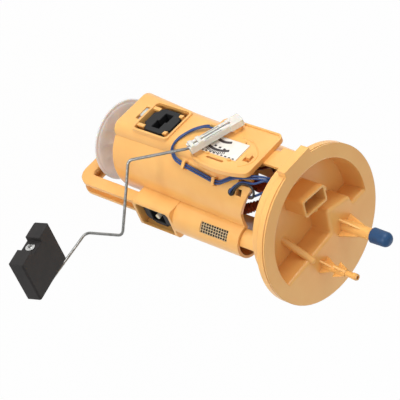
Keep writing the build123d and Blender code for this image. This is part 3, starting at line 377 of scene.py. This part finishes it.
facing = math.radians(weave["turn"])
galleryFace = sideFrame(
    (weave["galleryAxis"][0] + weave["galleryRadius"] * math.cos(facing),
     weave["galleryAxis"][1] + weave["galleryRadius"] * math.sin(facing), weave["middle"]),
    weave["turn"],
)
threads = bakeGroup(
    "galleryThreads", weaveGroup(),
    {"Width": weave["width"] * mm, "Height": weave["height"] * mm, "Columns": weave["columns"],
     "Rows": weave["rows"], "Thread": weave["thread"] * mm, "Wave": weave["wave"] * mm},
    galleryFace @ shift((0, 0, weave["depth"])),
)
keepPiece("galleryThreads", threads, "screenThread", "module", ("gallery_screen",))

# The fine mesh bellies a little between the coarse threads; its near-black colour is painted shade of the
# interior behind the screen
backing = {"depth": -2.3, "thickness": 0.25, "belly": 0.09, "bellies": (8, 22), "cells": (18, 60)}
form = bmesh.new()
bmesh.ops.create_grid(form, x_segments=backing["cells"][0], y_segments=backing["cells"][1], size=0.5)
for vertex in form.verts:
    across, up = vertex.co.x, vertex.co.y
    waveAcross, waveUp = (math.pi * count for count in backing["bellies"])
    swell = math.cos(across * waveAcross) * math.cos(up * waveUp)
    vertex.co = (across * weave["width"] * mm, up * weave["height"] * mm,
                 (backing["depth"] + swell * backing["belly"]) * mm)
bmesh.ops.solidify(form, geom=form.faces[:], thickness=backing["thickness"] * mm)
mesh = meshOf(form, "galleryFilter")
mesh.transform(galleryFace)
# The backing sheet's near-black finish is painted shade of the pot's interior
keepPiece("galleryFilter", mesh, "filterMeshPaintedShade", "module")
print("gallery screen made")

# Strainer: two cloths welded round their rim over moulded ribs, with a collar that the neck plugs into
strainer = {
    "centre": (-12.0, -6.0, -221.0), "steps": 144, "radius": 35.5, "weldRadius": 32.4, "weldHeight": 0.55,
    "height": 2.0, "fullness": 6, "rib": 0.28, "ribs": 12, "ribSharpness": 6, "ribFade": 4, "sag": 0.22,
    "rings": [4.5, 7.5, 11.0, 14.0, 17.0, 20.0, 23.0, 25.5, 28.0, 29.8, 31.2, 32.0, 32.4, 33.2, 34.6],
    "collar": [(4.5, -1.6), (4.5, 3.5), (7.6, 3.5), (8.2, 3.2), (8.4, 2.6), (10.6, 2.5), (11.0, 2.2),
               (11.0, 1.6), (10.8, -1.6)],
}


def strainerHeight(radius, angle):  # half the pouch's thickness at a place on it
    if radius >= strainer["weldRadius"]:
        return strainer["weldHeight"]
    share = radius / strainer["weldRadius"]
    puff = (1 - share ** strainer["fullness"]) ** 0.5
    ridge = (0.5 + 0.5 * math.cos(strainer["ribs"] * angle)) ** strainer["ribSharpness"]
    rib = strainer["rib"] * ridge * min(1, strainer["ribFade"] * (1 - share))
    sag = strainer["sag"] * math.sin(strainer["ribs"] * angle / 2) ** 2 * math.sin(math.pi * share)
    fullHeight = strainer["height"] - strainer["rib"] - strainer["weldHeight"]
    return strainer["weldHeight"] + fullHeight * puff + rib - sag


def clothRing(form, radius, side):  # side is 1 on the upper cloth, -1 on the lower and 0 at their edge
    return ringOf(form, strainer["steps"], lambda angle: (
        radius * math.cos(angle), radius * math.sin(angle), side * strainerHeight(radius, angle)))


form = bmesh.new()
rings = [clothRing(form, radius, 1) for radius in strainer["rings"]]
rings.append(clothRing(form, strainer["radius"], 0))
rings += [clothRing(form, radius, -1) for radius in reversed(strainer["rings"])]
skin(form, rings, ends=(0, -1))
mesh = meshOf(form, "strainerCloth")
mesh.transform(shift(strainer["centre"]))
keepPiece("strainerCloth", mesh, "filterCloth", "module", ("strainer_disc",))

form = bmesh.new()
rings = turnedRings(form, strainer["collar"], strainer["steps"])
skin(form, rings + rings[:1])
mesh = meshOf(form, "strainerCollar")
mesh.transform(shift(strainer["centre"]))
keepPiece("strainerCollar", mesh, "creamAcetal", "module")
print("strainer made")

# Push nut: a thin domed disc whose tongues bite the wire and leave a star round it
nut = {
    "middle": (145.0, -46.3, -161.0), "tilt": -18.0, "radius": 4.0, "thickness": 0.35, "steps": 96,
    "shares": (0.0, 0.12, 0.3, 0.55, 0.8, 0.93, 1.0), "tongues": 6, "tongueWidth": 2.2, "tonguePoint": 1.5,
    "tip": 1.3, "slot": 2.75, "tipLift": 0.55, "liftReach": 1.7, "dome": 0.25, "domeFlatness": 4,
}


def nutPoint(share, angle):  # share goes from the star-shaped opening to the rim
    wave = 0.5 + 0.5 * math.cos(nut["tongues"] * angle)
    notch = (1 - min(1, nut["tongueWidth"] * wave)) ** nut["tonguePoint"]
    inner = nut["tip"] + (nut["slot"] - nut["tip"]) * notch
    radius = inner + (nut["radius"] - inner) * share
    lift = nut["tipLift"] * max(0, 1 - (radius - nut["tip"]) / nut["liftReach"])
    dome = nut["dome"] * (1 - (radius / nut["radius"]) ** nut["domeFlatness"])
    return radius * math.cos(angle), radius * math.sin(angle), lift + dome


form = bmesh.new()
skin(form, [ringOf(form, nut["steps"], lambda angle: nutPoint(share, angle)) for share in nut["shares"]])
bmesh.ops.recalc_face_normals(form, faces=form.faces)
bmesh.ops.solidify(form, geom=form.faces[:], thickness=nut["thickness"] * mm)
mesh = meshOf(form, "starNut")
mesh.transform(
    shift(nut["middle"])
    @ Matrix.Rotation(math.radians(nut["tilt"]), 4, "Y")
    @ Matrix.Rotation(math.radians(90), 4, "X")
    @ shift((0, 0, nut["thickness"]))
)
keepPiece("starNut", mesh, "springSteel", "arm", ("push_nut",))
print("push nut made")

# Trim pads printed on the card, in the gap between the tracks and beside them. A row has its first
# pad's x and z, the pads' size and step in x and z, and how many there are.
trimPads = {
    "face": -50.52, "thickness": 0.1,
    "rows": [{"at": (4.7, -94.0), "size": (1.3, 2.0), "count": 9, "step": (0.0, 4.1)},
             {"at": (-2.6, -86.0), "size": (1.8, 2.3), "count": 3, "step": (0.5, 5.2)}],
}


def padGroup():
    tree, given = newGroup("printedRow", {
        "Count": "NodeSocketInt", "Step": "NodeSocketVector", "Size": "NodeSocketVector"})
    row = addNode(tree, "GeometryNodeMeshLine", {"Count": given["Count"], "Offset": given["Step"]})
    block = addNode(tree, "GeometryNodeMeshCube", {"Size": given["Size"]})
    laid = addNode(tree, "GeometryNodeInstanceOnPoints", {"Points": row, "Instance": block})
    endGroup(tree, addNode(tree, "GeometryNodeRealizeInstances", {"Geometry": laid}), "resistorInk")
    return tree


padTree = padGroup()
for number, row in enumerate(trimPads["rows"]):
    pads = bakeGroup(
        f"trimPads{number}", padTree,
        {"Count": row["count"], "Step": (row["step"][0] * mm, 0.0, row["step"][1] * mm),
         "Size": (row["size"][0] * mm, trimPads["thickness"] * mm, row["size"][1] * mm)},
        shift((row["at"][0], trimPads["face"], row["at"][1])),
    )
    keepPiece(f"trimPads{number}", pads, "resistorInk", "module")
print("card marks made")

# Rubber mounts: cross-shaped blocks with rounded rims and a well that their peg stands in.
# A cross is half its width and height, then half its arms' width and height. The island stands up on
# it by the crown, and the hollow is the well's outline.
rubbers = {
    "deckRubber": {
        "node": "deck_mount", "outward": (0, -1, 0), "across": (1, 0, 0),
        "depth": 13.5, "crown": 2.2, "well": 8.0,
        "cross": (14.5, 16.0, 8.5, 10.5), "island": (14.0, 15.6, 8.1, 11.2),
        "hollow": [(-8.6, -3.4), (0.2, -3.4), (0.2, -5.2), (8.4, -5.2), (8.4, 3.6), (0.2, 3.6), (0.2, 5.6),
                   (-8.6, 5.6)],
    },
    "sideRubber": {
        "node": "side_mount", "outward": (1, 0, 0), "across": (0, 1, 0),
        "depth": 11.5, "crown": 0.6, "well": 9.0,
        "cross": (10.0, 16.0, 6.5, 9.0), "island": (9.6, 15.6, 6.1, 8.8),
        "hollow": [(-5.6, -7.5), (5.6, -7.5), (5.6, 7.5), (-5.6, 7.5)],
    },
}
rubberEdges = {"rim": 0.6, "ledge": 0.05, "wellFlare": 0.4, "wellLip": 0.5,
               "shoulder": 0.72, "sideSlant": 1.6, "cornerSlant": 1.2, "endSlant": 1.4}


def crossOutline(sizes, inset):  # a cross with slanted corners, drawn in by the inset
    width, height, armWidth, armHeight = (size - inset for size in sizes)
    corner, end = rubberEdges["cornerSlant"], rubberEdges["endSlant"]
    quarter = [(width, armHeight * rubberEdges["shoulder"]), (width - rubberEdges["sideSlant"], armHeight),
               (armWidth + corner, armHeight + corner), (armWidth, height - end), (armWidth - end, height)]
    points = quarter + [(-u, v) for u, v in quarter[::-1]]
    return points + [(-u, -v) for u, v in points]


def flared(outline, reach):  # every corner moved away from the middle
    middle = [sum(point[axis] for point in outline) / len(outline) for axis in (0, 1)]
    return [tuple(point[axis] + math.copysign(reach, point[axis] - middle[axis]) for axis in (0, 1))
            for point in outline]


for name, rubber in rubbers.items():
    form = bmesh.new()
    cross, island, depth, rim = rubber["cross"], rubber["island"], rubber["depth"], rubberEdges["rim"]
    top = depth + rubber["crown"]
    walls = [loopAt(form, crossOutline(sizes, inset), height) for sizes, inset, height in (
        (cross, 0, 0), (cross, 0, depth - rim), (cross, rim, depth),
        (island, rim, depth + rubberEdges["ledge"]), (island, rim, top - rim), (island, 2 * rim, top))]
    skin(form, walls, ends=(0,))
    well = [loopAt(form, flared(rubber["hollow"], rubberEdges["wellFlare"]), top),
            loopAt(form, rubber["hollow"], top - rubberEdges["wellLip"]),
            loopAt(form, rubber["hollow"], top - rubber["well"])]
    skin(form, well, ends=(-1,))
    brim = [form.edges.get((loop[i], loop[(i + 1) % len(loop)])) for loop in (walls[-1], well[0])
            for i in range(len(loop))]
    bmesh.ops.triangle_fill(form, edges=brim, use_beauty=True, use_dissolve=False)
    low, high = (Vector(corner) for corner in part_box(rubber["node"]))
    outward, across = Vector(rubber["outward"]), Vector(rubber["across"])
    seat = (low + high) / 2 - outward * abs(outward.dot(high - low)) / 2
    turn = Matrix((across, outward.cross(across), outward)).transposed().to_4x4()
    mesh = meshOf(form, name, smooth=False)
    mesh.transform(Matrix.Translation(seat) @ turn)
    keepPiece(name, mesh, "nitrileRubber", "module", (rubber["node"],))
print("rubber mounts made")

# Leads in the pot's mouth: a loop and a dark one that share a grommet in the wall, and one from the
# pump's terminal up to the connector
mouthLeads = {
    "loopLead": {"finish": "blueInsulation", "slot": "blue_lead", "radius": 0.9, "route": [
        (5.8, -25.2, -22.2), (5.9, -31.0, -22.0), (6.6, -38.0, -23.5), (7.8, -42.0, -26.0),
        (9.6, -42.4, -28.6), (12.0, -41.6, -32.0), (13.2, -39.8, -36.5), (13.4, -39.2, -43.5),
        (14.2, -38.4, -49.5), (17.0, -36.0, -54.0), (20.6, -33.2, -57.2), (21.8, -30.4, -58.8),
        (18.6, -26.6, -59.6)]},
    "darkLead": {"finish": "blackInsulation", "slot": "black_rubber", "radius": 1.0, "route": [
        (18.4, -28.0, -57.2), (19.8, -32.0, -55.6), (17.2, -35.8, -52.0), (14.8, -38.0, -48.0),
        (14.2, -38.4, -43.5), (14.4, -38.2, -39.5), (16.2, -36.0, -35.6), (18.4, -33.0, -34.4),
        (19.4, -29.5, -37.0), (16.0, -24.0, -48.0), (8.0, -20.0, -64.0), (0.0, -15.0, -73.0),
        (-2.6, -13.4, -78.5)]},
    "riserLead": {"finish": "blueInsulation", "slot": "blue_lead", "radius": 1.0, "route": [
        (-20.6, -13.4, -78.5), (-17.0, -17.0, -70.0), (-4.0, -20.0, -64.0), (8.0, -21.0, -58.0),
        (15.5, -25.0, -49.0), (18.2, -28.3, -40.5), (15.6, -31.5, -33.0), (12.6, -34.4, -27.0),
        (8.4, -33.0, -23.0), (6.4, -25.6, -22.4)]},
}
for name, lead in mouthLeads.items():
    keepPiece(name, tubeMesh(name, lead["route"], lead["radius"]), lead["finish"], "module")
print("mouth leads made")

# Rounded ridge moulded on the tray's floor, from beside the card round the snap window
trayFloor = -49.7
ridge = {"radius": 0.6, "route": [(-18.8, -71.0), (-19.0, -62.0), (-14.5, -52.5), (-8.0, -45.0),
                                  (-1.0, -43.2), (5.5, -46.5), (9.0, -53.0)]}
ridgeMesh = tubeMesh("trayRidge", [(x, trayFloor, z) for x, z in ridge["route"]], ridge["radius"])
keepPiece("trayRidge", ridgeMesh, "peachAcetal", "module")
print("tray ridge made")

# Turned pieces: the grommet that the loop and the dark lead share, and a crimped end of the sender's
# pair at the tray. A profile has radius and height along the piece's own axis.
turned = {
    "leadGrommet": {"finish": "nitrileRubber", "slot": "black_rubber",
                    "seat": sideFrame((20.1, -30.0, -58.0), -38.0),
                    "profile": [(1.9, -2.4), (1.9, -0.2), (3.0, 0.0), (3.1, 0.7), (2.7, 1.3), (1.7, 1.5),
                                (1.3, 1.1)]},
    "leadCrimpOne": {"finish": "brassLeaf", "slot": "brass_leaf", "seat": shift((-20.0, -49.9, -101.2)),
                     "profile": [(1.05, -6.0), (1.35, -5.6), (1.35, -4.4), (1.1, -4.0), (1.1, -2.8),
                                 (1.35, -2.4), (1.4, -0.4), (1.1, 0.0)]},
}
turnedSides = 32
for name, shape in turned.items():
    form = bmesh.new()
    skin(form, turnedRings(form, shape["profile"], turnedSides), ends=(0, -1))
    mesh = meshOf(form, name)
    mesh.transform(shape["seat"])
    keepPiece(name, mesh, shape["finish"], "module")
print("grommet and crimp made")

# Locating tab of the inlet screen, which shows in the slot beside the deck's window
tab = {"middle": (-15.8, -45.1, -181.5), "size": (9.4, 2.5, 4.3), "round": 0.6, "roundSteps": 3}
form = bmesh.new()
bmesh.ops.create_cube(form, size=1.0)
for vertex in form.verts:
    vertex.co = [(tab["middle"][i] + vertex.co[i] * tab["size"][i]) * mm for i in range(3)]
bmesh.ops.bevel(
    form, geom=form.edges[:], offset=tab["round"] * mm, segments=tab["roundSteps"], affect="EDGES")
keepPiece("slotTab", meshOf(form, "slotTab"), "milkyAcetal", "module")
print("slot tab made")

# Corrugated drain hose seen through the mouth: a ribbed polyamide tube along a bend
drain = {
    "radius": 3.9, "rib": 0.45, "pitch": 2.3, "sides": 28, "step": 0.23, "fineness": 12,
    "route": [(10.0, 6.0, -80.0), (9.5, 4.0, -72.0), (8.0, 1.0, -63.0), (3.0, 0.0, -57.5),
              (-3.0, 3.0, -52.0), (-5.0, 8.0, -42.0), (-4.0, 12.0, -30.0), (-4.0, 13.0, -21.5)],
}


def corrugatedGroup(path):
    tree, given = newGroup("corrugatedHose", {
        "Radius": "NodeSocketFloat", "Rib": "NodeSocketFloat", "Pitch": "NodeSocketFloat"})
    maths = "ShaderNodeMath"
    source = addNode(tree, "GeometryNodeObjectInfo", {"Object": path})
    fine = addNode(tree, "GeometryNodeResampleCurve", {
        "mode": "LENGTH", "Length": drain["step"] * mm, "Curve": source.outputs["Geometry"]})
    span = addNode(tree, "GeometryNodeSplineParameter").outputs["Length"]
    ribsPassed = addNode(tree, maths, {"operation": "DIVIDE", 0: span, 1: given["Pitch"]})
    turn = addNode(tree, maths, {"operation": "MULTIPLY", 0: ribsPassed, 1: 2 * math.pi})
    sine = addNode(tree, maths, {"operation": "SINE", 0: turn})
    crest = addNode(tree, maths, {"operation": "MULTIPLY", 0: sine, 1: given["Rib"]})
    ribbed = addNode(tree, maths, {"operation": "ADD", 0: crest, 1: given["Radius"]})
    ring = addNode(tree, "GeometryNodeCurvePrimitiveCircle", {"Resolution": drain["sides"], "Radius": 1.0})
    tube = addNode(tree, "GeometryNodeCurveToMesh", {
        "Curve": fine, "Profile Curve": ring, "Scale": ribbed, "Fill Caps": True})
    endGroup(tree, tube, "brownPolyamide")
    return tree


drainPath = smoothCurve("drainPath", drain["route"], drain["fineness"])
hose = bakeGroup("drainHose", corrugatedGroup(drainPath),
                 {"Radius": drain["radius"] * mm, "Rib": drain["rib"] * mm, "Pitch": drain["pitch"] * mm},
                 Matrix.Identity(4))
bpy.data.objects.remove(drainPath)
form = bmesh.new()
form.from_mesh(hose)
keepPiece("drainHose", meshOf(form, "drainHose"), "brownPolyamide", "module")
print("drain hose made")

# Liner inside the pot that closes the left and top of the window in its back wall
potWall = {"foot": -200.0, "rise": 167.0, "radius": 39.0, "draft": 2.0, "x": -15.0, "lean": 6.0, "y": -6.0}
liner = {"low": -113.5, "sill": -86.0, "high": -72.5, "levelsBelow": 8, "levelsAbove": [-82.0, -77.0],
         "start": 95.0, "edge": 141.0, "end": 172.0, "cells": 44, "gap": 2.75, "wall": 1.4}


def linerPoint(angle, z):  # a place inside the pot's drafted and leaning wall
    share = (z - potWall["foot"]) / potWall["rise"]
    reach = potWall["radius"] - potWall["draft"] * share - liner["gap"]
    return ((potWall["x"] + potWall["lean"] * share + reach * math.cos(angle)) * mm,
            (potWall["y"] + reach * math.sin(angle)) * mm, z * mm)


low, sill, below, cells = liner["low"], liner["sill"], liner["levelsBelow"], liner["cells"]
levels = [low + (sill - low) * i / below for i in range(below + 1)] + liner["levelsAbove"] + [liner["high"]]
start, end = liner["start"], liner["end"]
angles = [math.radians(start + (end - start) * i / cells) for i in range(cells + 1)]
form = bmesh.new()
rows = [[form.verts.new(linerPoint(angle, z)) for angle in angles] for z in levels]
for z, lower, upper in zip(levels, rows, rows[1:]):
    for column in range(cells):
        if z >= sill or angles[column] >= math.radians(liner["edge"]):
            form.faces.new((lower[column], lower[column + 1], upper[column + 1], upper[column]))
bmesh.ops.delete(form, geom=[v for v in form.verts if not v.link_faces], context="VERTS")
bmesh.ops.solidify(form, geom=form.faces[:], thickness=liner["wall"] * mm)
keepPiece("potLiner", meshOf(form, "potLiner"), "peachAcetal", "module")
print("pot liner made")

# Floor of matt white paper, which shows white and keeps a soft shadow
white = (1.0, 1.0, 1.0, 1.0)
stage = {"floorHeight": -0.2385, "floorSize": 6.0, "paper": (0.86, 0.86, 0.86, 1.0), "floorGlow": 0.97,
         "worldLevel": 0.54}
half = stage["floorSize"] / 2
floorMesh = bpy.data.meshes.new("floor")
corners = [(-half, -half), (half, -half), (half, half), (-half, half)]
floorMesh.from_pydata([(x, y, stage["floorHeight"]) for x, y in corners], [], [(0, 1, 2, 3)])
floor = bpy.data.objects.new("floor", floorMesh)
scene.collection.objects.link(floor)
floorPaper = bpy.data.materials.new("whitePaper")
floorPaper.use_nodes = True
tree = floorPaper.node_tree
tree.nodes.clear()
paper = addNode(tree, "ShaderNodeBsdfDiffuse", {"Color": stage["paper"]})
glow = addNode(tree, "ShaderNodeEmission", {"Color": white, "Strength": 1.0})
rays = addNode(tree, "ShaderNodeLightPath").outputs
seen = addNode(tree, "ShaderNodeMath", {
    "operation": "MAXIMUM", 0: rays["Is Camera Ray"], 1: rays["Is Glossy Ray"]})
seenAll = addNode(tree, "ShaderNodeMath", {"operation": "MAXIMUM", 0: seen, 1: rays["Is Transmission Ray"]})
share = addNode(tree, "ShaderNodeMath", {"operation": "MULTIPLY", 0: seenAll, 1: stage["floorGlow"]})
both = addNode(tree, "ShaderNodeMixShader", {0: share, 1: paper, 2: glow})
addNode(tree, "ShaderNodeOutputMaterial", {"Surface": both})
floorMesh.materials.append(floorPaper)

# World: white behind the part, and softer on it
world = bpy.data.worlds.new("softWhite")
scene.world = world
world.use_nodes = True
tree = world.node_tree
tree.nodes.clear()
rays = addNode(tree, "ShaderNodeLightPath").outputs
level = addNode(tree, "ShaderNodeMix", {
    "data_type": "FLOAT", 0: rays["Is Camera Ray"], 2: stage["worldLevel"], 3: 1.0})
background = addNode(tree, "ShaderNodeBackground", {"Color": white, "Strength": level})
addNode(tree, "ShaderNodeOutputWorld", {"Surface": background})

# Lamps: soft squares that all face the middle of the part
lampTarget = (0.02, 0.0, -0.1)
lamps = {
    "keyLamp": {"from": (-0.35, -1.5, -0.02), "size": 0.9, "power": 17.5},
    "sideLamp": {"from": (1.45, -0.85, -0.12), "size": 0.5, "power": 13.5},
    "topLamp": {"from": (0.4, -0.1, 1.5), "size": 1.0, "power": 1.4},
    "backLamp": {"from": (-0.6, 1.4, 0.4), "size": 1.0, "power": 6.0},
}
for name, lamp in lamps.items():
    light = bpy.data.lights.new(name, "AREA")
    light.size = lamp["size"]
    light.energy = lamp["power"]
    holder = bpy.data.objects.new(name, light)
    holder.location = lamp["from"]
    holder.rotation_euler = (Vector(lampTarget) - Vector(lamp["from"])).to_track_quat("-Z", "Y").to_euler()
    scene.collection.objects.link(holder)

# Camera: a long lens, tipped over so that the flange stands to the right
cameraSet = {"place": (0.60063, -0.85941, 0.79198), "right": (-0.629, 0.317, 0.710),
             "back": (0.4245, -0.625, 0.655), "lens": 153.0, "sensor": 36.0}
cameraData = bpy.data.cameras.new("camera")
cameraData.lens = cameraSet["lens"]
cameraData.sensor_width = cameraSet["sensor"]
camera = bpy.data.objects.new("camera", cameraData)
back, right = Vector(cameraSet["back"]).normalized(), Vector(cameraSet["right"])
right = (right - back * right.dot(back)).normalized()
turn = Matrix((right, back.cross(right), back)).transposed().to_4x4()
camera.matrix_world = Matrix.Translation(cameraSet["place"]) @ turn
scene.collection.objects.link(camera)
scene.camera = camera
scene.view_settings.view_transform = "Standard"
print("camera and lights set")
